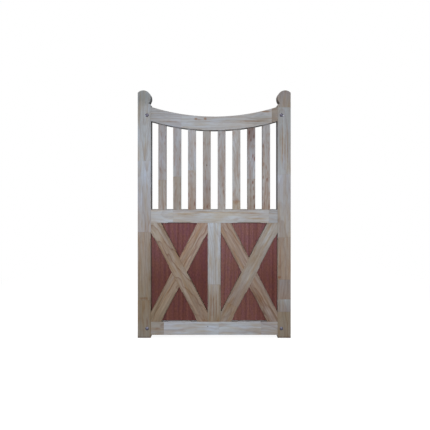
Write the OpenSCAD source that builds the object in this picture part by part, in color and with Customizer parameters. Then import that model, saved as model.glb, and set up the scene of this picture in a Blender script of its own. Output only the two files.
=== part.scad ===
// Garden gate leaf: a framed pine gate with a dipped top rail, a row of upright
// pickets above the middle rail, and two cross-braced plywood panels below it.
// The timber joints are real: tenons in mortises, panels in grooves, braces halved
// over each other, and a coach bolt through each corner tenon.
//
// Origin: middle of the foot line. X runs across the gate, Z up, and the braced
// face looks towards -Y. The frame timber is centred on Y = 0.

/* [Gate] */
// Width over both stiles
gate_w = 1045; // [1000:5:1100]
// Height from the feet to the top of the ears
gate_h = 1690; // [1660:5:1740]
// Thickness of the frame timber
frame_t = 42; // [42:1:46]

/* [Stiles] */
// Face width of each stile
stile_w = 90; // [86:1:96]
// Radius of the round ear on each stile
ear_r = 52; // [48:1:54]
// Distance from a stile's outer edge to the centre of its ear
ear_inset = 38; // [36:1:40]
// Angle below level at which the ear ends in its notch
notch_angle = 47; // [42:1:50]

/* [Rails] */
// Radius of the top rail's lower edge
dip_r = 1531; // [1400:1:1700]
// Height of the lowest point of the top rail's lower edge
dip_z = 1417; // [1400:1:1430]
// Depth of the curved top rail
top_rail_d = 94; // [90:1:98]
// Depth of the middle and bottom rails
rail_d = 90; // [80:1:95]
// Height of the middle rail's lower edge
mid_rail_z = 784; // [740:1:820]
// Height of the bottom rail's lower edge
bottom_rail_z = 20; // [15:1:40]
// Face width of the upright between the two panels
muntin_w = 90; // [80:1:100]

/* [Pickets] */
// Face width of a picket
picket_w = 54; // [45:1:60]
// Thickness of a picket
picket_t = 19; // [16:1:22]
// Depth of a picket's end in its mortise
picket_housing = 20; // [15:1:22]

/* [Panels and braces] */
// Thickness of the plywood panels
panel_t = 9; // [6:1:9]
// Depth of the grooves that hold the panels
groove_d = 10; // [8:1:12]
// Width of a brace
brace_w = 92; // [80:1:96]
// Thickness of a brace
brace_t = 20; // [18:1:20]
// Distance from a panel opening's corner to where a brace's centre line meets the rail
brace_offset = 18; // [10:1:25]
// Face width of the stopped chamfers
chamfer_w = 7; // [4:1:8]
// Distance from a joint or crossing to the end of a chamfer
chamfer_stop = 38; // [30:1:45]

/* [Joints and fixings] */
// Length of the rail tenons
tenon_l = 60; // [50:1:66]
// Thickness of the tenons
tenon_t = 14; // [12:1:16]
// Clearance around tenons, panels and pickets
glue_gap = 0.2; // [0.1:0.1:0.5]
// Distance from a stile's outer edge to its bolts
bolt_inset = 64; // [60:1:68]
// Height of the lower bolts
low_bolt_z = 64; // [60:1:70]
// Height of the upper bolts
high_bolt_z = 1520; // [1510:1:1530]

/* [Hidden] */
// Each picket is a node of its own, so their number is fixed
picket_count = 8;

$fn = 96;
// Sides of the top rail's two large circles
arc_fn = 720;
eps = 1;
front = -frame_t / 2;
back = frame_t / 2;

stile_in = gate_w / 2 - stile_w;
ear_z = gate_h - ear_r;
notch_x = ear_inset + ear_r * cos(notch_angle);
notch_z = ear_z - ear_r * sin(notch_angle);
shoulder_r = stile_w - notch_x;

// Top rail: two arcs about one centre above the gate
dip_centre_z = dip_z + dip_r;
top_edge_r = dip_r - top_rail_d;
mid_rail_top = mid_rail_z + rail_d;
bottom_rail_top = bottom_rail_z + rail_d;

// Tenons: [lower edge, upper edge] of each. The top rail's is centred on its depth where
// it meets the stile.
tenon_edge = 15;
mortise_spare = 2;
function below_centre(r) = sqrt(pow(r, 2) - pow(stile_in, 2));
dip_end_z = dip_centre_z - (below_centre(dip_r) + below_centre(top_edge_r)) / 2;
top_tenon_h = 70;
top_tenon = [dip_end_z - top_tenon_h / 2, dip_end_z + top_tenon_h / 2];
mid_tenon = [mid_rail_z + tenon_edge, mid_rail_top - tenon_edge];
low_tenon = [bottom_rail_z + tenon_edge, bottom_rail_top - tenon_edge];
muntin_tenon_l = 35;
muntin_tenon_w = muntin_w - 2 * tenon_edge;

// Pickets: equal gaps between the stiles
picket_gap = (2 * stile_in - picket_count * picket_w) / (picket_count + 1);
picket_pitch = picket_w + picket_gap;
function picket_x(i) = -stile_in + picket_gap + picket_w / 2 + i * picket_pitch;
function dip_at(x) = dip_centre_z - sqrt(pow(dip_r, 2) - pow(x, 2));
function picket_top(i) = dip_at(abs(picket_x(i)) + picket_w / 2) + picket_housing;

// Panels lie straight behind the braces, whose faces are flush with the frame
panel_front = front + brace_t;
panel_back = panel_front + panel_t;
opening_w = stile_in - muntin_w / 2;
opening_h = mid_rail_z - bottom_rail_top;
opening_x = (stile_in + muntin_w / 2) / 2;
opening_z = (mid_rail_z + bottom_rail_top) / 2;

// Braces: lean from upright, then places along a brace measured from the crossing
lean = atan((opening_w / 2 - brace_offset) / (opening_h / 2));
cross_near = brace_w / 2 * tan(lean);
cross_far = brace_w / 2 / tan(lean);
end_at_upright = (opening_w / 2 - brace_w / 2 * cos(lean)) / sin(lean);
end_at_rail = (opening_h / 2 - brace_w / 2 * sin(lean)) / cos(lean);
free_rail = opening_w / 2 - brace_offset - brace_w / 2 / cos(lean) - chamfer_stop;
free_upright = end_at_upright * cos(lean) - brace_w / 2 * sin(lean) - chamfer_stop;
brace_gap = 0.1;

// Coach bolts, M10, sawn off level with the head's projection at the back
bolt_r = 5;
bolt_hole_r = 5.5;
bolt_head_r = 12.3;
bolt_head_h = 5.4;
neck_w = 10;
neck_l = 5.5;
washer_r = 10.5;
washer_t = 2;
nut_flats = 16;
nut_t = 8;
seat_r = 14;
seat_d = 8;

// Panel screws, 4 x 25 countersunk, driven from behind into the braces
screw_r = 2;
screw_head_r = 4;
screw_head_l = 2.4;
screw_l = 25;
screw_tip_l = 4;
screw_hole_r = 2.1;
screw_sink = 0.3;
arm_screws = [-265, -150, 150, 265];

PICKETS = [for (i = [1:picket_count]) str("picket_", i)];

// ---- Shared shapes ----

// A block given by its lowest and highest corners
module block(lo, hi) {
    translate(lo)
        cube(hi - lo);
}

// A bar centred on Y = 0 and t thick, from x0 to x1 and z0 to z1, grown by g all round but
// not at its ends along X
module bar(x0, x1, z0, z1, t, g = 0) {
    block([x0, -t / 2 - g, z0 - g], [x1, t / 2 + g, z1 + g]);
}

// A round bar along Y
module rod(x, z, r, y0, y1) {
    translate([x, y0, z])
        rotate([-90, 0, 0])
            cylinder(r = r, h = y1 - y0);
}

// Mirrors a left-hand shape to the right-hand side
module right_hand() {
    mirror([1, 0, 0])
        children();
}

// Cutter for a stopped chamfer on an edge from the origin to [0, 0, len], with the
// timber towards -X and +Y. Each end is the round run-out of a chamfering bit.
module chamfer_cut(len) {
    bit_r = 6;
    wide = bit_r + chamfer_w;
    c = chamfer_w;
    translate([0, 0, wide])
        linear_extrude(height = len - 2 * wide)
            polygon([[-c - eps, -eps], [eps, -eps], [eps, c + eps]]);
    for (z = [wide, len - wide])
        translate([bit_r, -eps, z])
            rotate([-90, 0, 0])
                cylinder(r1 = wide + eps, r2 = bit_r - eps, h = c + 2 * eps);
}

// ---- Stiles ----

// Left stile's outline, with its outer edge at x = 0
module stile_blank() {
    rotate([90, 0, 0])
        linear_extrude(height = frame_t, center = true)
            polygon([
                [0, 0],
                [stile_w, 0],
                [stile_w, notch_z - shoulder_r],
                [notch_x, notch_z - shoulder_r],
                [notch_x, notch_z],
                [ear_inset, ear_z],
                [0, ear_z]
            ]);
    rod(notch_x, notch_z - shoulder_r, shoulder_r, front, back);
    intersection() {
        rod(ear_inset, ear_z, ear_r, front, back);
        block([0, front, ear_z - ear_r], [2 * stile_w, back, gate_h + eps]);
    }
}

module bolt_hole(z) {
    x = bolt_inset - gate_w / 2;
    rod(x, z, bolt_hole_r, front - eps, back + eps);
    rod(x, z, seat_r, back - seat_d, back + eps);
    block(
        [x - neck_w / 2 - glue_gap, front - eps, z - neck_w / 2 - glue_gap],
        [x + neck_w / 2 + glue_gap, front + neck_l + eps, z + neck_w / 2 + glue_gap]
    );
}

module stile() {
    mortise_x = -stile_in - tenon_l - mortise_spare;
    color("burlywood")
        difference() {
            translate([-gate_w / 2, 0, 0])
                stile_blank();
            for (t = [top_tenon, mid_tenon, low_tenon])
                bar(mortise_x, -stile_in + eps, t[0], t[1], tenon_t, glue_gap);
            block(
                [-stile_in - groove_d, panel_front - glue_gap, bottom_rail_top - groove_d],
                [-stile_in + eps, panel_back + glue_gap, mid_rail_z + groove_d]
            );
            for (z = [low_bolt_z, high_bolt_z])
                bolt_hole(z);
            translate([-stile_in, front, opening_z - free_upright])
                chamfer_cut(2 * free_upright);
        }
}

module left_stile() stile();

module right_stile() right_hand() stile();

// ---- Rails and muntin ----

// Tenons at both ends of a rail, drilled for a corner bolt where it has one
module rail_tenons(t, bolt_z = undef) {
    root = 5;
    for (side = [-1, 1]) {
        x0 = side > 0 ? stile_in - root : -stile_in - tenon_l;
        difference() {
            bar(x0, x0 + tenon_l + root, t[0], t[1], tenon_t);
            if (bolt_z != undef)
                rod(side * (gate_w / 2 - bolt_inset), bolt_z, bolt_hole_r, -tenon_t, tenon_t);
        }
    }
}

// Mortises for all the pickets, in the top rail (upper) or in the middle rail
module picket_mortises(upper) {
    half = picket_w / 2 + glue_gap;
    for (i = [0:picket_count - 1]) {
        z0 = upper ? mid_rail_top : mid_rail_top - picket_housing - mortise_spare;
        z1 = upper ? picket_top(i) + mortise_spare : mid_rail_top + eps;
        bar(picket_x(i) - half, picket_x(i) + half, z0, z1, picket_t + 2 * glue_gap);
    }
}

module top_rail() {
    color("wheat")
        difference() {
            union() {
                intersection() {
                    difference() {
                        rod(0, dip_centre_z, dip_r, front, back, $fn = arc_fn);
                        rod(0, dip_centre_z, top_edge_r, front - eps, back + eps, $fn = arc_fn);
                    }
                    bar(-stile_in, stile_in, dip_z - eps, gate_h, frame_t);
                }
                rail_tenons(top_tenon, high_bolt_z);
            }
            picket_mortises(true);
        }
}

module mid_rail() {
    color("wheat")
        difference() {
            union() {
                bar(-stile_in, stile_in, mid_rail_z, mid_rail_top, frame_t);
                rail_tenons(mid_tenon);
            }
            picket_mortises(false);
            block(
                [-stile_in - eps, panel_front - glue_gap, mid_rail_z - eps],
                [stile_in + eps, panel_back + glue_gap, mid_rail_z + groove_d]
            );
            muntin_mortise(mid_rail_z, 1);
            for (side = [-1, 1])
                translate([side * opening_x - free_rail, front, mid_rail_z])
                    rotate([0, 90, 0])
                        chamfer_cut(2 * free_rail);
        }
}

module bottom_rail() {
    color("wheat")
        difference() {
            union() {
                bar(-stile_in, stile_in, bottom_rail_z, bottom_rail_top, frame_t);
                rail_tenons(low_tenon, low_bolt_z);
            }
            block(
                [-stile_in - eps, panel_front - glue_gap, bottom_rail_top - groove_d],
                [stile_in + eps, panel_back + glue_gap, bottom_rail_top + eps]
            );
            muntin_mortise(bottom_rail_top, -1);
            for (side = [-1, 1])
                translate([side * opening_x - free_rail, front, bottom_rail_top])
                    mirror([0, 0, 1])
                        rotate([0, 90, 0])
                            chamfer_cut(2 * free_rail);
        }
}

// Mortise for a muntin tenon, going up (1) or down (-1) from z
module muntin_mortise(z, way) {
    deep = z + way * (muntin_tenon_l + mortise_spare);
    bar(-muntin_tenon_w / 2 - glue_gap, muntin_tenon_w / 2 + glue_gap, min(z - way * eps, deep),
        max(z - way * eps, deep), tenon_t + 2 * glue_gap);
}

module muntin() {
    half = muntin_w / 2;
    color("wheat")
        difference() {
            union() {
                bar(-half, half, bottom_rail_top, mid_rail_z, frame_t);
                bar(-muntin_tenon_w / 2, muntin_tenon_w / 2, bottom_rail_top - muntin_tenon_l,
                    mid_rail_z + muntin_tenon_l, tenon_t);
            }
            for (side = [0, 1])
                mirror([side, 0, 0]) {
                    block(
                        [half - groove_d, panel_front - glue_gap, bottom_rail_top - eps],
                        [half + eps, panel_back + glue_gap, mid_rail_z + eps]
                    );
                    translate([half, front, opening_z - free_upright])
                        chamfer_cut(2 * free_upright);
                }
        }
}

// ---- Pickets ----

module picket(i) {
    x = picket_x(i);
    foot = mid_rail_top - picket_housing;
    color("rosybrown")
        bar(x - picket_w / 2, x + picket_w / 2, foot, picket_top(i), picket_t);
}

// ---- Panels ----

// Screw places of one panel, as [x, z]
SCREWS = concat(
    [[-opening_x, opening_z]],
    [for (s = arm_screws, way = [-1, 1]) [-opening_x + way * s * sin(lean), opening_z + s * cos(lean)]]
);

module panel() {
    hold = groove_d - 2 * glue_gap;
    color("sienna")
        difference() {
            block(
                [-stile_in - hold, panel_front, bottom_rail_top - hold],
                [-muntin_w / 2 + hold, panel_back, mid_rail_z + hold]
            );
            for (p = SCREWS) {
                rod(p[0], p[1], screw_hole_r, panel_front - eps, panel_back + eps);
                countersink(p[0], p[1]);
            }
        }
}

// Cone for a screw head, a little deeper than the head
module countersink(x, z) {
    slope = (screw_head_r - screw_r) / screw_head_l;
    deep = screw_head_l + screw_sink + eps;
    translate([x, panel_back - screw_sink - screw_head_l, z])
        rotate([-90, 0, 0])
            cylinder(r1 = screw_hole_r, r2 = screw_hole_r + slope * deep, h = deep);
}

module left_panel() panel();

module right_panel() right_hand() panel();

// ---- Braces ----

// One brace of the left panel. way is 1 for the one that rises to the right and -1 for
// the one that falls; in_front says that it keeps its face at the crossing.
module brace(way, in_front) {
    long = 2 * end_at_rail + brace_w;
    half = brace_w / 2;
    mid_y = front + brace_t / 2;
    cut = in_front ? [mid_y - brace_gap, panel_front + eps] : [front - eps, mid_y + brace_gap];
    translate([-opening_x, 0, opening_z])
        mirror([way > 0 ? 0 : 1, 0, 0])
            difference() {
                intersection() {
                    rotate([0, lean, 0])
                        block([-half, front, -long / 2], [half, panel_front, long / 2]);
                    block(
                        [-opening_w / 2 + brace_gap, front - eps, -opening_h / 2 + brace_gap],
                        [opening_w / 2 - brace_gap, panel_front + eps, opening_h / 2 - brace_gap]
                    );
                }
                rotate([0, -lean, 0])
                    block([-half - brace_gap, cut[0], -long], [half + brace_gap, cut[1], long]);
                rotate([0, lean, 0])
                    brace_cuts();
            }
}

// Chamfers and screw holes of a brace that lies along Z, with its crossing at the origin
module brace_cuts() {
    upper = [cross_near + chamfer_stop, end_at_upright - chamfer_stop];
    lower = [cross_far + chamfer_stop, end_at_rail - chamfer_stop];
    for (turn = [0, 180])
        rotate([0, turn, 0]) {
            translate([brace_w / 2, front, upper[0]])
                chamfer_cut(upper[1] - upper[0]);
            translate([brace_w / 2, front, -lower[1]])
                chamfer_cut(lower[1] - lower[0]);
        }
    for (s = concat([0], arm_screws))
        rod(0, s, screw_hole_r, panel_back - screw_l - eps, panel_front + eps);
}

module left_falling_brace() color("tan") brace(-1, true);

module left_rising_brace() color("peru") brace(1, false);

module right_rising_brace() right_hand() color("tan") brace(-1, true);

module right_falling_brace() right_hand() color("peru") brace(1, false);

// ---- Corner bolts ----

// Puts its children, made along +Y with y = 0 at the timber's face, at each bolt
module at_bolts(y) {
    for (side = [-1, 1], z = [low_bolt_z, high_bolt_z])
        translate([side * (gate_w / 2 - bolt_inset), y, z])
            children();
}

// Cup head, square neck and shank
module coach_bolt() {
    dome_r = (pow(bolt_head_r, 2) + pow(bolt_head_h, 2)) / (2 * bolt_head_h);
    shank_l = frame_t + bolt_head_h;
    end_chamfer = 1;
    rotate([-90, 0, 0]) {
        intersection() {
            translate([0, 0, dome_r - bolt_head_h])
                sphere(r = dome_r);
            translate([0, 0, -bolt_head_h - eps])
                cylinder(r = 2 * bolt_head_r, h = bolt_head_h + eps);
        }
        translate([-neck_w / 2, -neck_w / 2, 0])
            cube([neck_w, neck_w, neck_l]);
        cylinder(r = bolt_r, h = shank_l - end_chamfer);
        translate([0, 0, shank_l - end_chamfer])
            cylinder(r1 = bolt_r, r2 = bolt_r - end_chamfer, h = end_chamfer);
    }
}

module corner_bolts() {
    color("slategray")
        at_bolts(front)
            coach_bolt();
}

module bolt_washers() {
    color("silver")
        at_bolts(back - seat_d)
            rotate([-90, 0, 0])
                difference() {
                    cylinder(r = washer_r, h = washer_t);
                    translate([0, 0, -eps])
                        cylinder(r = bolt_r + glue_gap, h = washer_t + 2 * eps);
                }
}

// Hexagon with its corners turned away at both faces
module hex_nut() {
    turned_angle = 30;
    corner_r = nut_flats / 2 / cos(180 / 6);
    face_r = nut_flats / 2 - 0.4;
    turned = (corner_r - face_r) * tan(turned_angle);
    difference() {
        intersection() {
            cylinder(r = corner_r, h = nut_t, $fn = 6);
            rotate_extrude()
                polygon([
                    [0, 0],
                    [face_r, 0],
                    [corner_r, turned],
                    [corner_r, nut_t - turned],
                    [face_r, nut_t],
                    [0, nut_t]
                ]);
        }
        translate([0, 0, -eps])
            cylinder(r = bolt_r + glue_gap / 2, h = nut_t + 2 * eps);
    }
}

module bolt_nuts() {
    color("silver")
        at_bolts(back - seat_d + washer_t)
            rotate([-90, 0, 0])
                hex_nut();
}

// ---- Panel screws ----

// A countersunk screw along -Y from its head's face
module screw() {
    straight = screw_l - screw_head_l - screw_tip_l;
    point_r = 0.2;
    recess = [4.4, 0.8, 1.4];
    rotate([90, 0, 0])
        difference() {
            union() {
                cylinder(r1 = screw_head_r, r2 = screw_r, h = screw_head_l);
                translate([0, 0, screw_head_l])
                    cylinder(r = screw_r, h = straight);
                translate([0, 0, screw_head_l + straight])
                    cylinder(r1 = screw_r, r2 = point_r, h = screw_tip_l);
            }
            for (turn = [0, 90])
                rotate([0, 0, turn])
                    translate([-recess[0] / 2, -recess[1] / 2, -recess[2]])
                        cube([recess[0], recess[1], 2 * recess[2]]);
        }
}

module panel_screws() {
    color("gainsboro")
        for (p = SCREWS)
            translate([p[0], panel_back - screw_sink, p[1]])
                screw();
}

module left_panel_screws() panel_screws();

module right_panel_screws() right_hand() panel_screws();

left_stile();
right_stile();
top_rail();
mid_rail();
bottom_rail();
muntin();
for (i = [0:picket_count - 1])
    picket(i);
left_panel();
right_panel();
left_falling_brace();
left_rising_brace();
right_rising_brace();
right_falling_brace();
corner_bolts();
bolt_washers();
bolt_nuts();
left_panel_screws();
right_panel_screws();
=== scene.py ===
"""Looks, light and camera for the framed garden gate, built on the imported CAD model."""

import math
from collections import namedtuple

import bpy
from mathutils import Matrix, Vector


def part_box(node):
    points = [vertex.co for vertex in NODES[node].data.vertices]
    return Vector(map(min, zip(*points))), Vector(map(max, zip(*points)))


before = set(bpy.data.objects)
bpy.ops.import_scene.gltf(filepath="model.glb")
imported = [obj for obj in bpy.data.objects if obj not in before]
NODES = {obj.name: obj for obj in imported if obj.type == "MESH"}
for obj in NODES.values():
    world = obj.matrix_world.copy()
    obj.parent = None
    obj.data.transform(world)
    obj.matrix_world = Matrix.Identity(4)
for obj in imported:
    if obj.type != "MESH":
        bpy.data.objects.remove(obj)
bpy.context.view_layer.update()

# ---------------------------------------------------------------------------
# Places and measures, in metres, worked out from the frame
# ---------------------------------------------------------------------------

STILE_LOW, STILE_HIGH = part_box("left_stile")
MUNTIN_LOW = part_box("muntin")[0]
MID_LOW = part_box("mid_rail")[0]
BOTTOM_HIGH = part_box("bottom_rail")[1]
FRONT_Y = STILE_LOW.y
# Half the opening between the stile and the muntin, and between the rails
OPENING_HALF = Vector((MUNTIN_LOW.x - STILE_HIGH.x, 0.0, MID_LOW.z - BOTTOM_HIGH.z)) / 2

PICKETS = sorted(name for name in NODES if name.startswith("picket_"))
FRAME_TIMBER = ("left_stile", "right_stile", "top_rail", "mid_rail", "bottom_rail", "muntin")
BRACES = ("left_falling_brace", "left_rising_brace", "right_rising_brace", "right_falling_brace")


def middle(node):
    low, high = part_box(node)
    return (low + high) / 2


# ---------------------------------------------------------------------------
# Short names for shader nodes
# ---------------------------------------------------------------------------

# Most of a noise's values lie within the first span, and nearly all within the second
NOISE_SPAN = (0.28, 0.72)
WIDE_SPAN = (0.2, 0.8)


def linear(colour):
    """Linear RGBA from display values between 0 and 1."""
    return tuple(pow(c, 2.2) for c in colour) + (1.0,)


class Net:
    """A material's node tree, with one short method for each kind of node it needs."""

    def __init__(self, name):
        self.material = bpy.data.materials.new(name)
        self.material.use_nodes = True
        self.tree = self.material.node_tree
        self.tree.nodes.clear()

    def node(self, kind, inputs=None, **settings):
        made = self.tree.nodes.new("ShaderNode" + kind)
        for key, value in settings.items():
            setattr(made, key, value)
        for key, value in (inputs or {}).items():
            self.feed(made.inputs[key], value)
        return made

    def feed(self, socket, value):
        if isinstance(value, bpy.types.NodeSocket):
            self.tree.links.new(value, socket)
        else:
            socket.default_value = value

    def math(self, operation, a, b=0.0, c=0.0):
        return self.node("Math", {0: a, 1: b, 2: c}, operation=operation).outputs[0]

    def add(self, a, b):
        return self.math("ADD", a, b)

    def subtract(self, a, b):
        return self.math("SUBTRACT", a, b)

    def multiply(self, a, b):
        return self.math("MULTIPLY", a, b)

    def divide(self, a, b):
        return self.math("DIVIDE", a, b)

    def hypot(self, a, b):
        return self.math("SQRT", self.add(self.multiply(a, a), self.multiply(b, b)))

    def remap(self, value, low, high, to_low=0.0, to_high=1.0, smooth=False):
        made = self.node("MapRange", {0: value, 1: low, 2: high, 3: to_low, 4: to_high})
        if smooth:
            made.interpolation_type = "SMOOTHSTEP"
        return made.outputs[0]

    def mix(self, factor, a, b, blend="MIX"):
        """Blends two colours. 6 and 7 are the node's colour inputs, and 2 its colour output."""
        made = self.node("Mix", {0: factor, 6: a, 7: b}, data_type="RGBA", blend_type=blend)
        return made.outputs[2]

    def tint(self, colour, factor, tint):
        """Multiplies a colour by a tint given in display values, as far as factor says."""
        return self.mix(factor, colour, linear(tint), "MULTIPLY")

    def stain(self, colour, noise, span, strength, tint):
        """Tints a colour where a noise is high: not at all below the span, fully above it."""
        return self.tint(colour, self.remap(noise, *span, 0.0, strength), tint)

    def shade(self, colour, level):
        """Multiplies a colour by a level that varies over the surface."""
        grey = self.node("CombineColor", {0: level, 1: level, 2: level}).outputs[0]
        return self.mix(1.0, colour, grey, "MULTIPLY")

    def vary(self, colour, noise, amount, span=NOISE_SPAN):
        """Darkens and lightens a colour with a noise, by up to amount each way."""
        return self.shade(colour, self.remap(noise, *span, 1.0 - amount, 1.0 + amount))

    def vector(self, x, y, z):
        return self.node("CombineXYZ", {0: x, 1: y, 2: z}).outputs[0]

    def split(self, vector):
        return self.node("SeparateXYZ", {0: vector}).outputs

    def noise(self, vector, scale=1.0, detail=2.0, roughness=0.5):
        settings = {"Vector": vector, "Scale": scale, "Detail": detail, "Roughness": roughness}
        return self.node("TexNoise", settings).outputs[0]

    def sway(self, noise, reach):
        """Turns a noise into values that sway about 0, by up to reach each way."""
        return self.multiply(self.subtract(noise, 0.5), 2 * reach)

    def random(self, value):
        """Three random numbers, from 0 to 1, for each whole value."""
        made = self.node("TexWhiteNoise", {"W": value}, noise_dimensions="1D")
        return self.node("SeparateColor", {0: made.outputs["Color"]}).outputs

    def ramp(self, value, ends, between):
        """A grey ramp. Its stops are pairs of place and level."""
        made = self.node("ValToRGB", {0: value})
        elements = made.color_ramp.elements
        for element, (place, level) in zip(elements, ends):
            element.position = place
            element.color = (level, level, level, 1.0)
        for place, level in between:
            elements.new(place).color = (level, level, level, 1.0)
        return self.node("SeparateColor", {0: made.outputs[0]}).outputs[0]

    def place(self):
        """Where a point is in the gate's own frame."""
        return self.node("TexCoord").outputs["Object"]

    def board(self, centre, turn):
        """Places on a board: across its face, through it, and along its grain.
        turn is the grain's lean from upright towards +X."""
        settings = {0: self.place(), 1: centre, 2: (0, turn, 0)}
        mapped = self.node("Mapping", settings, vector_type="TEXTURE")
        return self.split(mapped.outputs[0])[0:3]

    def finish(self, colour, roughness, height, relief, shine=0.5, metallic=0.0):
        """The material. relief is how deep its height goes, in metres."""
        bump = self.node("Bump", {"Height": height, "Distance": relief, "Strength": 1.0})
        shader = self.node("BsdfPrincipled", {
            "Base Color": colour, "Roughness": roughness, "Normal": bump.outputs[0],
            "Specular IOR Level": shine, "Metallic": metallic})
        self.node("OutputMaterial", {0: shader.outputs[0]})
        return self.material


# Noise drawn out along the grain: its waves to the metre across and along it, how detailed it
# is, and how far it is moved so that no two kinds match
Fibre = namedtuple("Fibre", "across along detail moved", defaults=(2.0, 0.0))


def fibres(net, place, fibre, shift):
    """One kind of fibre noise at a place on a board."""
    across, through, along = place
    spread = net.vector(
        net.multiply(across, fibre.across),
        net.multiply(through, fibre.across),
        net.add(net.multiply(along, fibre.along), net.add(shift, fibre.moved)))
    return net.noise(spread, detail=fibre.detail)


# ---------------------------------------------------------------------------
# Pine
# ---------------------------------------------------------------------------

# Tones of planed pine, as display values: first the cool ones, then the warm ones
SNOW = (0.688, 0.711, 0.735)
FROST = (0.653, 0.682, 0.722)
PEARL = (0.656, 0.676, 0.697)
MIST = (0.639, 0.650, 0.673)
SILVER = (0.625, 0.636, 0.650)
ASH = (0.613, 0.615, 0.624)
DUSK = (0.604, 0.599, 0.608)
SLATE = (0.574, 0.583, 0.587)
CHALK = (0.658, 0.656, 0.653)
LINEN = (0.655, 0.644, 0.633)
SHELL = (0.644, 0.634, 0.624)
PEBBLE = (0.618, 0.612, 0.602)
BLUSH = (0.610, 0.592, 0.585)
CREAM = (0.633, 0.600, 0.551)
SAND = (0.594, 0.572, 0.545)
PEACH = (0.628, 0.559, 0.512)
ALMOND = (0.579, 0.539, 0.504)
STRAW = (0.556, 0.533, 0.507)
HONEY = (0.586, 0.522, 0.477)
WHEAT = (0.551, 0.520, 0.489)
AMBER = (0.559, 0.502, 0.451)
MAUVE = (0.520, 0.496, 0.489)
FAWN = (0.533, 0.491, 0.452)
BISCUIT = (0.526, 0.472, 0.433)
OAT = (0.499, 0.474, 0.433)
OCHRE = (0.511, 0.472, 0.417)
TAN = (0.527, 0.458, 0.398)
UMBER = (0.497, 0.461, 0.415)
BARK = (0.502, 0.447, 0.380)

# Tints that darken or lighten the wood
LATEWOOD = (0.74, 0.60, 0.52)
RUST = (0.86, 0.72, 0.62)
GOLD = (0.95, 0.87, 0.76)
DULL = (0.90, 0.91, 0.91)
PALE = (1.09, 1.12, 1.14)
MILK = (1.08, 1.13, 1.16)
GLUE = (0.68, 0.60, 0.52)
PORE = (0.55, 0.42, 0.32)
# Darkens a board towards its foot
FOOT_DARK = (0.60, 0.50, 0.42)
KNOT = (0.42, 0.26, 0.20)
RESIN = (0.85, 0.60, 0.35)
STREAK = (0.78, 0.62, 0.57)
# Painted sheen: a pale, cool lift that stands in for light the wood reflects
SHEEN_TINT = (1.03, 1.05, 1.09)

# What a planed board's noises are: where the rings stray and wave, strips of lighter and
# darker wood, fibres, long warm patches, pale patches of painted sheen, short flecks and pores
STRAYING = Fibre(9.0, 3.5, 1.0)
WAVES = Fibre(26.0, 13.0, 1.0)
STRIPS = Fibre(95.0, 2.2, 3.0)
FINE = Fibre(800.0, 14.0, 3.0)
PATCHES = Fibre(42.0, 6.0, moved=31.0)
SHEEN_PATCHES = Fibre(30.0, 7.0, moved=62.0)
FLECKS = Fibre(130.0, 28.0, moved=93.0)
PORES = Fibre(1900.0, 90.0, 1.0)

# How far the noises move from one block to the next, so that its grain breaks at the joint
RING_STEP = 3.7
FIBRE_STEP = 5.3

# Where a noise starts to show and where it shows fully, and how strongly it does
FINE_SHADE = 0.08
PATCH_SPAN = (0.46, 0.66)
FLECK_SPAN = (0.52, 0.70)
SHEEN_SPAN = (0.50, 0.70)
SHEEN_STRENGTH = 0.8
PORE_SPAN = (0.68, 0.78)
PORE_STRENGTH = 0.25

# How rough the surface is from earlywood to latewood, how much it shines, how deep its relief
# is, and what the rings and the fibres add to that
PINE_ROUGH = (0.82, 0.70)
PINE_SHINE = 0.15
PINE_RELIEF = 0.00025
RING_RELIEF = 0.6
FINE_RELIEF = 0.5

# Finger joints: the fingers' pitch and length, half the width of a glue line, and how
# strongly it shows
FINGER_PITCH = 0.0038
FINGER_LENGTH = 0.010
GLUE_HALF = 0.0004
GLUE_STRENGTH = 0.6

# Where a block's pith can be, aside from the board's middle and behind it, and how far it can
# tilt each way. The last tilt needs a second draw, this far from the first.
PITH_ASIDE = 0.07
PITH_BEHIND = (0.045, 0.13)
TILT_ASIDE = 0.03
TILT_BEHIND = 0.06
SECOND_DRAW = 50.0

# How dark a growth ring is from its inner side to its outer side, and how strong the faintest is
RING_ENDS = ((0.0, 0.10), (1.0, 0.0))
RING_BETWEEN = ((0.40, 0.10), (0.78, 0.75), (0.93, 1.0))
FAINTEST_RING = 0.25

# A mark: its ragged edge's waves to the metre, how ragged that is, how much of the mark is at
# full strength, and the least depth it goes to
EDGE_ACROSS = 90.0
EDGE_ALONG = 40.0
RAGGED = 0.45
MARK_CORE = 0.2
MARK_DEPTH = 0.006

# A darker band at a board's foot: how far up its darkening starts to fade and ends, and how
# strong it is
FOOT_DARK_FULL = 0.004
FOOT_DARK_END = 0.012
FOOT_DARK_STRENGTH = 0.75

# How a board's grain looks. spacing is the width of a growth ring, sharp how thin its dark
# line is, wander how far the rings stray from true, ripple how far they wave along the board,
# contrast how dark latewood is, streaks how much the wood varies from strip to strip, stain
# how far long warm patches show, tint their colour, fleck how far short rusty ones show, and
# pith where the rings' centre is and how it tilts (None for a random place).
Grain = namedtuple("Grain", "spacing sharp wander ripple contrast streaks stain tint fleck pith")
FRAME_GRAIN = Grain(0.009, 1.0, 0.014, 0.0024, 0.50, 0.12, 0.60, GOLD, 0.25, None)
PICKET_GRAIN = Grain(0.007, 1.0, 0.012, 0.0040, 0.45, 0.10, 0.45, RUST, 0.50, None)
BRACE_GRAIN = Grain(0.013, 1.5, 0.010, 0.0120, 0.85, 0.18, 0.70, GOLD, 0.25, None)

# A knot, streak or stain: where its middle is, and how far it reaches from there along and
# across the board
Mark = namedtuple("Mark", "along across length width strength tint")

# How one board looks. seed picks its random grain, joints are where its finger-jointed blocks
# meet, and tones are each block's tones at its lower or left end and at its other end.
Look = namedtuple("Look", "seed grain joints tones marks")


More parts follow.
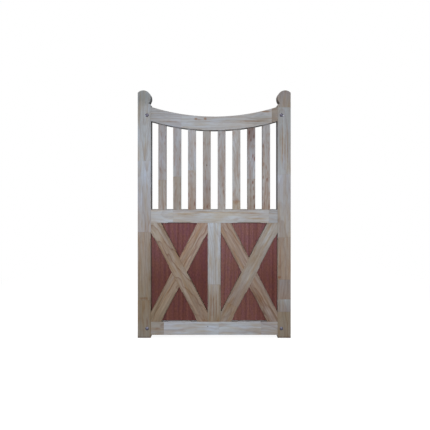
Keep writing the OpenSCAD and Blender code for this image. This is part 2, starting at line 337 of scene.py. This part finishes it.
def blocks(net, along, inside, ends, look):
    """Finger-jointed blocks: the number of the block, its tone, and the glue lines. The
    fingers zigzag through the thickness, so the front shows a straight line at each joint."""
    half = FINGER_PITCH / 2
    zigzag = net.multiply(net.math("PINGPONG", inside, half), FINGER_LENGTH / half)
    cut = net.add(along, zigzag)
    places = (ends[0], *look.joints, ends[1])
    number, colour, glue = 0.0, None, 0.0
    for start, end, (lower, upper) in zip(places, places[1:], look.tones):
        tone = net.mix(net.remap(cut, start, end), linear(lower), linear(upper))
        if colour is None:
            colour = tone
            continue
        past = net.math("GREATER_THAN", cut, start)
        number = net.add(number, past)
        colour = net.mix(past, colour, tone)
        glue = net.math("MAXIMUM", glue, net.math("COMPARE", cut, start, GLUE_HALF))
    return number, colour, glue


def random_pith(net, number, seed):
    """Where a block's pith is, across and behind, and how it tilts both ways."""
    first = net.random(net.add(number, seed))
    second = net.random(net.add(number, seed + SECOND_DRAW))
    return (net.remap(first[0], 0, 1, -PITH_ASIDE, PITH_ASIDE),
            net.remap(first[1], 0, 1, *PITH_BEHIND),
            net.remap(first[2], 0, 1, -TILT_ASIDE, TILT_ASIDE),
            net.remap(second[0], 0, 1, -TILT_BEHIND, TILT_BEHIND))


def growth_rings(net, place, number, look):
    """Darkness of the growth rings, from 0 in earlywood to 1 in latewood. Each block has
    its own pith, behind the face and at a small angle to it."""
    across, through, along = place
    grain = look.grain
    pith = grain.pith or random_pith(net, number, look.seed)
    pith_across, pith_through, tilt_across, tilt_through = pith
    aside = net.subtract(net.subtract(across, pith_across), net.multiply(along, tilt_across))
    behind = net.subtract(net.subtract(through, pith_through), net.multiply(along, tilt_through))

    shift = net.add(net.multiply(number, RING_STEP), look.seed)
    stray = net.sway(fibres(net, place, STRAYING, shift), grain.wander)
    wave = net.sway(fibres(net, place, WAVES, shift), grain.ripple)
    radius = net.add(net.add(net.hypot(aside, behind), stray), wave)

    count = net.divide(radius, grain.spacing)
    band = net.ramp(net.math("FRACT", count), RING_ENDS, RING_BETWEEN)
    ring = net.random(net.add(net.math("FLOOR", count), look.seed))
    strength = net.remap(ring[0], 0, 1, FAINTEST_RING, 1.0)
    return net.multiply(net.math("POWER", band, grain.sharp), strength)


def spot(net, place, face, mark):
    """How much of a mark shows, from its full strength in the middle to 0 at its ragged edge.
    Its middle is on the board's front face."""
    across, through, along = place
    edge = net.noise(net.vector(
        net.multiply(across, EDGE_ACROSS), net.multiply(along, EDGE_ALONG),
        mark.along * EDGE_ALONG))
    aside = net.divide(net.subtract(across, mark.across), mark.width)
    away = net.divide(net.subtract(along, mark.along), mark.length)
    inside = net.divide(net.subtract(through, face), max(mark.width, MARK_DEPTH))
    far = net.hypot(net.hypot(aside, away), inside)
    far = net.add(far, net.sway(edge, RAGGED))
    return net.remap(far, 1.0, MARK_CORE, 0.0, mark.strength, smooth=True)


def pine(name, centre, turn, ends, face, look, foot):
    """Planed, finger-jointed pine for one board. ends says how far it reaches both ways along
    its grain, face is where its front is, measured from its middle, and foot is how high
    the board's foot stands, if it has one, with the wood darker just above it."""
    net = Net(name)
    place = net.board(centre, turn)
    through, along = place[1:]
    number, tone, glue = blocks(net, along, net.subtract(through, face), ends, look)
    rings = growth_rings(net, place, number, look)

    shift = net.add(net.multiply(number, FIBRE_STEP), look.seed)
    strips, fine, patches, sheens, flecks, pores = (
        fibres(net, place, fibre, shift)
        for fibre in (STRIPS, FINE, PATCHES, SHEEN_PATCHES, FLECKS, PORES))

    grain = look.grain
    colour = net.tint(tone, net.multiply(rings, grain.contrast), LATEWOOD)
    colour = net.vary(colour, strips, grain.streaks)
    colour = net.vary(colour, fine, FINE_SHADE, WIDE_SPAN)
    colour = net.stain(colour, patches, PATCH_SPAN, grain.stain, grain.tint)
    colour = net.stain(colour, flecks, FLECK_SPAN, grain.fleck, RUST)
    # Painted sheen: pale cool patches lighten the wood
    colour = net.stain(colour, sheens, SHEEN_SPAN, SHEEN_STRENGTH, SHEEN_TINT)
    colour = net.stain(colour, pores, PORE_SPAN, PORE_STRENGTH, PORE)
    colour = net.tint(colour, net.multiply(glue, GLUE_STRENGTH), GLUE)
    for mark in look.marks:
        colour = net.tint(colour, spot(net, place, face, mark), mark.tint)
    if foot is not None:
        # The wood is darker towards the board's foot
        darker_foot = net.remap(along, foot + FOOT_DARK_FULL, foot + FOOT_DARK_END, FOOT_DARK_STRENGTH, 0.0)
        colour = net.tint(colour, darker_foot, FOOT_DARK)

    roughness = net.remap(rings, 0, 1, *PINE_ROUGH)
    height = net.add(net.multiply(rings, RING_RELIEF), net.multiply(fine, FINE_RELIEF))
    return net.finish(colour, roughness, height, PINE_RELIEF, PINE_SHINE)


# ---------------------------------------------------------------------------
# Plywood and steel
# ---------------------------------------------------------------------------

PLY_DARK = (0.330, 0.190, 0.167)
PLY_LIGHT = (0.415, 0.263, 0.232)
PLY_PLUM = (0.97, 0.96, 1.07)
PLY_PORE = (0.45, 0.32, 0.30)

# The veneer's noises
RIBBONS = Fibre(60.0, 0.9, 3.0)
STRIPES = Fibre(260.0, 3.0)
PLUM_PATCHES = Fibre(50.0, 12.0, 3.0, 7.0)
PLY_FLECKS = Fibre(240.0, 60.0, moved=9.0)
PLY_PORES = Fibre(1300.0, 55.0, 1.0)

# How the ribbons bend: the bends' waves to the metre across and along, and how far they go
BEND_ACROSS = 3.0
BEND_ALONG = 1.2
BEND = 0.025
# The noises change this many times faster through the sheet than across it, so that its two
# faces differ
THROUGH_PACE = 200.0

# How strongly the noises show, and where they start to
STRIPE_SHADE = 0.15
PLY_FLECK_SHADE = 0.24
PLUM_SPAN = (0.45, 0.60)
PLY_PORE_SPAN = (0.60, 0.70)
PLY_PORE_STRENGTH = 0.55

# How rough the surface is from stripe to stripe, how much it shines, how deep its relief is,
# and what the stripes add to that
PLY_ROUGH = (0.66, 0.80)
PLY_SHINE = 0.20
PLY_RELIEF = 0.0002
STRIPE_RELIEF = 0.4

# Where the tints of the sheet's edges start and end, from its middle: sideways and upwards
SIDE = 0.19
# Upwards the tint is painted light: the sheet grows lighter and bluer towards its top
TOP_START = -0.05
TOP_END = 0.34


def plywood(name, centre, seed, left, right, top):
    """Red-brown veneer with upright ribbons and short dark pores. left and right are the tints
    of its side edges, and top is painted light, which makes the sheet lighter and bluer
    towards its top edge."""
    net = Net(name)
    across, through, along = net.board(centre, 0.0)
    bend = net.noise(net.vector(net.multiply(across, BEND_ACROSS), seed,
                                net.multiply(along, BEND_ALONG)), detail=1.0)
    bent = net.add(across, net.sway(bend, BEND))
    grain = (bent, net.multiply(through, THROUGH_PACE), along)
    ribbons, stripes, plum, flecks, pores = (
        fibres(net, grain, fibre, seed)
        for fibre in (RIBBONS, STRIPES, PLUM_PATCHES, PLY_FLECKS, PLY_PORES))

    colour = net.mix(net.remap(ribbons, *NOISE_SPAN), linear(PLY_DARK), linear(PLY_LIGHT))
    colour = net.vary(colour, stripes, STRIPE_SHADE)
    colour = net.vary(colour, flecks, PLY_FLECK_SHADE)
    colour = net.tint(colour, net.remap(across, SIDE, -SIDE), left)
    colour = net.tint(colour, net.remap(across, -SIDE, SIDE), right)
    # Painted light: lighter and bluer towards the top
    colour = net.tint(colour, net.remap(along, TOP_START, TOP_END), top)
    colour = net.stain(colour, plum, PLUM_SPAN, 1.0, PLY_PLUM)
    pore = net.remap(pores, *PLY_PORE_SPAN)
    colour = net.tint(colour, net.multiply(pore, PLY_PORE_STRENGTH), PLY_PORE)

    height = net.subtract(net.multiply(stripes, STRIPE_RELIEF), pore)
    roughness = net.remap(stripes, *WIDE_SPAN, *PLY_ROUGH)
    return net.finish(colour, roughness, height, PLY_RELIEF, PLY_SHINE)


# Dull patches on zinc: where their colour and their roughness come in, and how much rougher
# they are
DULL_SPAN = (0.42, 0.62)
ROUGH_SPAN = (0.40, 0.65)
DULL_ROUGHER = 0.18
# Speckles on zinc: how many times finer they are, and how they show
SPECKLE_SCALE = 12.0
SPECKLE_SPAN = (0.3, 0.7)
SPECKLE_SHADE = (0.85, 1.08)
SPECKLE_ROUGH = 0.06
ZINC_RELIEF = 0.00008


def zinc(name, tone, dull, scale, rough=0.44):
    """Zinc plate, gone dull in patches. scale is the patches' waves to the metre, and rough
    how rough the bright parts are."""
    net = Net(name)
    place = net.place()
    patches = net.noise(place, scale=scale, detail=4.0, roughness=0.65)
    speckles = net.noise(place, scale=scale * SPECKLE_SCALE)
    colour = net.mix(net.remap(patches, *DULL_SPAN), linear(tone), linear(dull))
    colour = net.shade(colour, net.remap(speckles, *SPECKLE_SPAN, *SPECKLE_SHADE))
    roughness = net.add(net.remap(patches, *ROUGH_SPAN, rough, rough + DULL_ROUGHER),
                        net.multiply(speckles, SPECKLE_ROUGH))
    return net.finish(colour, roughness, speckles, ZINC_RELIEF, metallic=1.0)


# ---------------------------------------------------------------------------
# How boards are dressed
# ---------------------------------------------------------------------------

UPRIGHT = 0.0
LEVEL = math.radians(90)
# How far in from the opening's corners a brace's middle line ends, and about half its length
BRACE_INSET = 0.018
BRACE_HALF = 0.33


def dress(node, material):
    """Gives a CAD node its material in every slot."""
    for slot in NODES[node].material_slots:
        slot.material = material


def board_pine(node, centre, turn, ends, look, foot=None):
    """A board of any lean, with its front face where the CAD has it."""
    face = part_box(node)[0].y - centre.y
    dress(node, pine(node + "_pine", centre, turn, ends, face, look, foot))


def upright_pine(node, look, foot=None):
    """A board that stands upright. Joints and marks are heights above the ground."""
    low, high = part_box(node)
    centre = middle(node)
    centre.z = 0.0
    board_pine(node, centre, UPRIGHT, (low.z, high.z), look, foot)


def level_pine(node, look):
    """A board that lies level. Joints and marks are distances from the gate's middle, and
    down from the board's."""
    low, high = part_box(node)
    board_pine(node, middle(node), LEVEL, (low.x, high.x), look)


def brace_pine(node, look):
    """A brace. It leans as the line between the opening's corners does, half its own width in
    from them, and joints and marks are distances from its middle."""
    slope = math.atan2(OPENING_HALF.x - BRACE_INSET, OPENING_HALF.z)
    lean = -slope if "falling" in node else slope
    board_pine(node, middle(node), lean, (-BRACE_HALF, BRACE_HALF), look)


# The first picket's seed, and the step to the next one's
PICKET_SEED = 170.0
PICKET_STEP = 3.0
STREAK_LENGTH = 0.021
STREAK_WIDTH = 0.007


def picket_pine(number, joints, tones, *marks):
    """A picket, numbered from 1 at the left."""
    seed = PICKET_SEED + PICKET_STEP * (number - 1)
    upright_pine("picket_%d" % number, Look(seed, PICKET_GRAIN, joints, tones, marks))


def streak(along, across, strength):
    """A short reddish streak on a picket."""
    return Mark(along, across, STREAK_LENGTH, STREAK_WIDTH, strength, STREAK)


# ---------------------------------------------------------------------------
# What each piece is made of
# ---------------------------------------------------------------------------

upright_pine("left_stile", foot=STILE_LOW.z, look=Look(
    seed=11.0, grain=FRAME_GRAIN._replace(contrast=0.35),
    joints=(0.257, 0.722, 1.208),
    tones=((OAT, BARK), (OCHRE, ALMOND), (BLUSH, FROST), (PEARL, SLATE)),
    marks=(
        Mark(0.270, 0.0, 0.014, 0.050, 0.6, RUST),
        Mark(0.105, 0.020, 0.060, 0.008, 0.5, STREAK),
        Mark(1.640, 0.0, 0.070, 0.100, 1.0, DULL))))
upright_pine("right_stile", foot=STILE_LOW.z, look=Look(
    seed=23.0, grain=FRAME_GRAIN._replace(contrast=0.40),
    joints=(0.178, 0.264, 0.398, 0.685, 1.116, 1.574),
    tones=((UMBER, OCHRE), (MAUVE, SLATE), (BISCUIT, MAUVE), (AMBER, ALMOND), (SAND, MIST),
           (SILVER, SLATE), (STRAW, MAUVE)),
    marks=(
        Mark(0.415, -0.032, 0.014, 0.018, 0.6, RESIN),
        Mark(0.540, -0.028, 0.110, 0.008, 0.4, RESIN),
        Mark(1.320, -0.012, 0.220, 0.0045, 0.8, RUST),
        Mark(1.270, 0.006, 0.170, 0.0045, 0.8, RUST),
        Mark(1.300, 0.024, 0.210, 0.0040, 0.7, RUST))))
level_pine("top_rail", Look(
    seed=37.0, grain=FRAME_GRAIN._replace(stain=0.4),
    joints=(-0.225, 0.393),
    tones=((SLATE, MIST), (PEARL, SHELL), (WHEAT, STRAW)),
    marks=(
        Mark(0.320, 0.0, 0.130, 0.080, 0.8, DULL),
        Mark(-0.126, 0.003, 0.015, 0.013, 1.0, RUST),
        Mark(-0.100, 0.010, 0.030, 0.005, 0.8, RUST),
        Mark(-0.062, 0.002, 0.013, 0.012, 1.0, RUST),
        Mark(-0.300, 0.022, 0.100, 0.006, 0.5, RUST),
        Mark(0.260, 0.018, 0.140, 0.008, 0.6, RUST),
        Mark(0.350, -0.048, 0.050, 0.007, 1.0, RUST))))
level_pine("mid_rail", Look(
    seed=41.0, grain=FRAME_GRAIN,
    joints=(-0.281, 0.373),
    tones=((LINEN, SNOW), (CHALK, CHALK), (SILVER, ASH)),
    marks=(
        Mark(0.040, 0.0, 0.190, 0.070, 0.8, PALE),
        Mark(-0.210, -0.019, 0.120, 0.011, 0.9, GOLD),
        Mark(0.060, -0.027, 0.360, 0.009, 0.7, GOLD),
        Mark(0.250, -0.020, 0.130, 0.008, 0.5, RUST),
        Mark(0.290, 0.015, 0.120, 0.010, 0.6, GOLD))))
level_pine("bottom_rail", Look(
    seed=53.0, grain=FRAME_GRAIN,
    joints=(-0.344, 0.032, 0.321),
    tones=((STRAW, STRAW), (MIST, PEARL), (PEARL, ASH), (DUSK, SAND)),
    marks=(
        Mark(-0.044, -0.014, 0.006, 0.005, 0.95, KNOT),
        Mark(-0.390, 0.0, 0.030, 0.012, 0.6, RUST))))
upright_pine("muntin", Look(
    seed=61.0, grain=FRAME_GRAIN._replace(contrast=0.40),
    joints=(0.365,),
    tones=((BARK, SAND), (PEBBLE, SNOW)),
    marks=(
        Mark(0.220, -0.022, 0.120, 0.005, 0.8, RUST),
        Mark(0.200, -0.004, 0.150, 0.004, 0.9, RUST),
        Mark(0.220, 0.014, 0.130, 0.005, 0.8, RUST),
        Mark(0.600, 0.004, 0.200, 0.002, 0.5, RUST))))

picket_pine(1, (1.078,), ((SHELL, SAND), (DUSK, DUSK)),
            streak(1.369, 0.021, 0.5), streak(1.150, -0.014, 0.35))
picket_pine(2, (1.100,), ((SAND, SAND), (ASH, MIST)),
            streak(0.917, 0.018, 0.4))
picket_pine(3, (1.146,), ((HONEY, LINEN), (PEARL, SNOW)),
            Mark(1.135, 0.0, 0.012, 0.030, 0.4, RUST),
            streak(1.109, -0.007, 0.4), streak(0.972, -0.021, 0.5), streak(0.915, 0.018, 0.8))
picket_pine(4, (1.078,), ((AMBER, DUSK), (BLUSH, PEBBLE)),
            Mark(1.180, 0.0, 0.008, 0.006, 0.95, KNOT),
            streak(1.328, -0.021, 0.7), streak(1.020, 0.021, 0.5), streak(1.020, 0.0, 0.5),
            streak(0.895, 0.002, 0.9))
picket_pine(5, (), ((SHELL, ASH),),
            Mark(1.300, 0.0, 0.150, 0.040, 0.6, PALE),
            streak(1.389, -0.014, 0.6), streak(1.047, 0.007, 0.5), streak(0.999, 0.014, 0.6))
picket_pine(6, (0.935,), ((CREAM, CREAM), (CHALK, CHALK)),
            Mark(0.930, 0.0, 0.030, 0.030, 0.6, RUST))
picket_pine(7, (1.085, 1.205), ((ALMOND, PEBBLE), (PEARL, MIST), (MIST, MAUVE)),
            Mark(1.400, 0.0, 0.080, 0.045, 0.4, STREAK),
            streak(1.403, -0.015, 1.0), streak(1.376, 0.017, 1.0), streak(1.355, -0.003, 1.0),
            streak(1.239, 0.010, 0.9), streak(1.222, 0.021, 1.0), streak(1.061, 0.010, 1.0),
            streak(1.020, 0.014, 0.7), streak(0.960, 0.017, 1.0), streak(0.900, 0.021, 1.0))
picket_pine(8, (1.090,), ((HONEY, CHALK), (SHELL, ASH)),
            streak(1.314, -0.021, 0.5), streak(1.163, 0.0, 0.5), streak(1.095, -0.021, 0.6),
            streak(1.081, 0.007, 0.7), streak(1.020, -0.021, 0.5), streak(0.917, -0.014, 0.5),
            streak(0.897, 0.021, 0.7))

brace_pine("left_falling_brace", Look(
    seed=90.0, joints=(), tones=((TAN, AMBER),),
    grain=BRACE_GRAIN._replace(pith=(-0.12, 0.06, -0.20, 0.02), spacing=0.040, sharp=3.5,
                               ripple=0.028, contrast=1.0),
    marks=(
        Mark(0.330, -0.010, 0.150, 0.070, 1.0, MILK),
        Mark(-0.040, 0.0, 0.220, 0.090, 0.6, MILK))))
brace_pine("left_rising_brace", Look(
    seed=97.0, joints=(), tones=((BARK, PEACH),),
    grain=BRACE_GRAIN._replace(pith=(0.05, 0.05, 0.02, 0.03), streaks=0.22),
    marks=(
        Mark(0.200, 0.004, 0.150, 0.0045, 1.0, PALE),
        Mark(0.170, 0.016, 0.110, 0.0035, 0.8, PALE),
        Mark(-0.210, -0.006, 0.120, 0.0045, 1.0, PALE),
        Mark(-0.260, 0.014, 0.080, 0.0040, 0.8, PALE))))
brace_pine("right_rising_brace", Look(
    seed=104.0, joints=(-0.25,), tones=((FAWN, TAN), (BISCUIT, SAND)),
    grain=BRACE_GRAIN._replace(pith=(0.02, 0.08, 0.05, 0.08), contrast=0.35, streaks=0.12),
    marks=(
        Mark(0.0, 0.0, 0.160, 0.090, 0.35, MILK),
        Mark(-0.020, 0.014, 0.070, 0.010, 1.0, PALE),
        Mark(0.280, -0.005, 0.090, 0.020, 0.7, PALE))))
brace_pine("right_falling_brace", Look(
    seed=111.0, joints=(), tones=((BISCUIT, HONEY),),
    grain=BRACE_GRAIN._replace(pith=(-0.03, 0.05, -0.06, 0.05), spacing=0.018, contrast=0.65,
                               streaks=0.22),
    marks=(
        Mark(0.270, -0.004, 0.100, 0.007, 1.0, PALE),
        Mark(-0.250, -0.010, 0.140, 0.004, 1.0, PALE))))

dress("left_panel", plywood(
    "left_plywood", middle("left_panel"), seed=3.0,
    left=(1.013, 1.030, 1.020), right=(0.981, 0.940, 0.955), top=(1.22, 1.32, 1.44)))
dress("right_panel", plywood(
    "right_plywood", middle("right_panel"), seed=8.0,
    left=(1.155, 1.265, 1.290), right=(1.010, 1.000, 1.000), top=(1.18, 1.26, 1.34)))

BRIGHT_ZINC = (0.70, 0.70, 0.72)
DULL_ZINC = (0.56, 0.56, 0.60)
dress("corner_bolts", zinc(
    "bolt_zinc", tone=(0.50, 0.49, 0.55), dull=(0.40, 0.39, 0.44), scale=180.0, rough=0.50))
dress("bolt_washers", zinc("washer_zinc", BRIGHT_ZINC, DULL_ZINC, scale=160.0))
dress("bolt_nuts", zinc("nut_zinc", BRIGHT_ZINC, DULL_ZINC, scale=170.0))
for screws in ("left_panel_screws", "right_panel_screws"):
    dress(screws, zinc(
        screws + "_zinc", tone=(0.78, 0.76, 0.68), dull=(0.62, 0.60, 0.56), scale=300.0))

# ---------------------------------------------------------------------------
# Eased arrises
# ---------------------------------------------------------------------------

FRAME_ARRIS = 0.0015
SLAT_ARRIS = 0.0012
# Points this near are one point, faces at less than this angle are one face, and edges
# sharper than this are eased
WELD_DISTANCE = 0.00001
FLAT_ANGLE = math.radians(0.3)
SHARP_ANGLE = math.radians(35)


def ease(node, radius):
    """Rounds a CAD node's sharp edges a little, as a plane or sander leaves them."""
    piece = NODES[node]
    weld = piece.modifiers.new("weld", "WELD")
    weld.merge_threshold = WELD_DISTANCE
    flat = piece.modifiers.new("flat", "DECIMATE")
    flat.decimate_type = "DISSOLVE"
    flat.angle_limit = FLAT_ANGLE
    bevel = piece.modifiers.new("arris", "BEVEL")
    bevel.width = radius
    bevel.segments = 2
    bevel.limit_method = "ANGLE"
    bevel.angle_limit = SHARP_ANGLE
    bevel.use_clamp_overlap = False
    bevel.harden_normals = True


for timber in FRAME_TIMBER:
    ease(timber, FRAME_ARRIS)
for slat in (*PICKETS, *BRACES):
    ease(slat, SLAT_ARRIS)

# ---------------------------------------------------------------------------
# Floor, light and camera
# ---------------------------------------------------------------------------

WHITE = (1.0, 1.0, 1.0, 1.0)
BLACK = (0.0, 0.0, 0.0, 1.0)

# The floor takes light and shadow near the gate, up to FLOOR_NEAR, and glows a little less
# there. Beyond FLOOR_FAR it only glows, evenly.
FLOOR_HALF = 40.0
FLOOR_NEAR = 0.8
FLOOR_FAR = 2.4
FLOOR_TONE = (0.3, 0.3, 0.3, 1.0)
NEAR_GLOW = 0.82
floor_mesh = bpy.data.meshes.new("floor")
corners = [(x * FLOOR_HALF, y * FLOOR_HALF, 0.0) for x, y in ((-1, -1), (1, -1), (1, 1), (-1, 1))]
floor_mesh.from_pydata(corners, [], [(0, 1, 2, 3)])
floor = bpy.data.objects.new("floor", floor_mesh)
bpy.context.scene.collection.objects.link(floor)

floor_net = Net("floor_pale")
away = floor_net.node("VectorMath", {0: floor_net.place()}, operation="LENGTH")
near = floor_net.remap(away.outputs["Value"], FLOOR_NEAR, FLOOR_FAR, 1.0, 0.0, smooth=True)
floor_shader = floor_net.node("BsdfPrincipled", {
    "Base Color": floor_net.mix(near, BLACK, FLOOR_TONE), "Roughness": 0.9,
    "Specular IOR Level": 0.0, "Emission Color": WHITE,
    "Emission Strength": floor_net.remap(near, 0.0, 1.0, 1.0, NEAR_GLOW)})
floor_net.node("OutputMaterial", {0: floor_shader.outputs[0]})
floor_mesh.materials.append(floor_net.material)
floor.visible_diffuse = False
floor.visible_glossy = False

# The world looks white, and lights the gate only faintly
AMBIENT = 0.12
AMBIENT_COLOUR = (0.97, 0.98, 1.0, 1.0)
world = bpy.data.worlds.new("studio")
bpy.context.scene.world = world
world.use_nodes = True
sky = world.node_tree
sky.nodes.clear()
seen = sky.nodes.new("ShaderNodeBackground")
seen.inputs["Color"].default_value = WHITE
lit = sky.nodes.new("ShaderNodeBackground")
lit.inputs["Color"].default_value = AMBIENT_COLOUR
lit.inputs["Strength"].default_value = AMBIENT
path = sky.nodes.new("ShaderNodeLightPath")
choose = sky.nodes.new("ShaderNodeMixShader")
out = sky.nodes.new("ShaderNodeOutputWorld")
sky.links.new(path.outputs["Is Camera Ray"], choose.inputs[0])
sky.links.new(lit.outputs[0], choose.inputs[1])
sky.links.new(seen.outputs[0], choose.inputs[2])
sky.links.new(choose.outputs[0], out.inputs[0])

# The middle of the gate, which every light is aimed at
HEART = Vector((0.0, 0.0, 0.85))
LIGHT_COLOUR = (0.98, 0.99, 1.01)


def softbox(name, place, width, height, power, glossy=True):
    """A rectangular soft light, with its power in watts. glossy says whether surfaces
    mirror it."""
    data = bpy.data.lights.new(name, "AREA")
    data.shape = "RECTANGLE"
    data.size = width
    data.size_y = height
    data.energy = power
    data.color = LIGHT_COLOUR
    light = bpy.data.objects.new(name, data)
    light.location = place
    light.rotation_euler = (HEART - Vector(place)).to_track_quat("-Z", "Y").to_euler()
    light.visible_camera = False
    light.visible_glossy = glossy
    bpy.context.scene.collection.objects.link(light)


# Large lights in front and behind. The strips above and beside the gate stand in its own
# plane, so the gate's outer edges catch them and its inner edges stay dark.
softbox("key_front", (-0.6, -9.0, 1.5), 3.6, 3.6, 470.0)
softbox("sky_front", (0.4, -9.0, 6.2), 5.0, 3.6, 470.0)
softbox("fill_back", (0.2, 16.0, 1.94), 3.0, 3.6, 2330.0, glossy=False)
softbox("high_back", (0.8, 4.0, 4.5), 1.4, 1.4, 30.0)
softbox("strip_top", (0.0, 0.0, 4.4), 2.0, 0.20, 30.0)
softbox("strip_left", (-4.5, 0.0, 0.9), 0.16, 2.4, 140.0)
softbox("strip_right", (4.5, 0.0, 0.9), 0.16, 2.4, 140.0)

# The camera looks level at the gate's front, from a little above its middle rail. VIEW_WIDTH
# is the width it sees at the front, and VIEW_CENTRE the place there that the picture is
# centred on.
EYE_DISTANCE = 1.573
EYE_HEIGHT = 1.080
VIEW_WIDTH = 2.933
VIEW_CENTRE = (0.0053, 0.8388)
camera_data = bpy.data.cameras.new("camera")
camera_data.sensor_width = 36.0
camera_data.lens = camera_data.sensor_width * EYE_DISTANCE / VIEW_WIDTH
camera_data.shift_x = VIEW_CENTRE[0] / VIEW_WIDTH
camera_data.shift_y = (VIEW_CENTRE[1] - EYE_HEIGHT) / VIEW_WIDTH
camera = bpy.data.objects.new("camera", camera_data)
camera.location = (0.0, FRONT_Y - EYE_DISTANCE, EYE_HEIGHT)
camera.rotation_euler = (math.radians(90), 0.0, 0.0)
bpy.context.scene.collection.objects.link(camera)
bpy.context.scene.camera = camera

view = bpy.context.scene.view_settings
view.view_transform = "Standard"
view.look = "None"
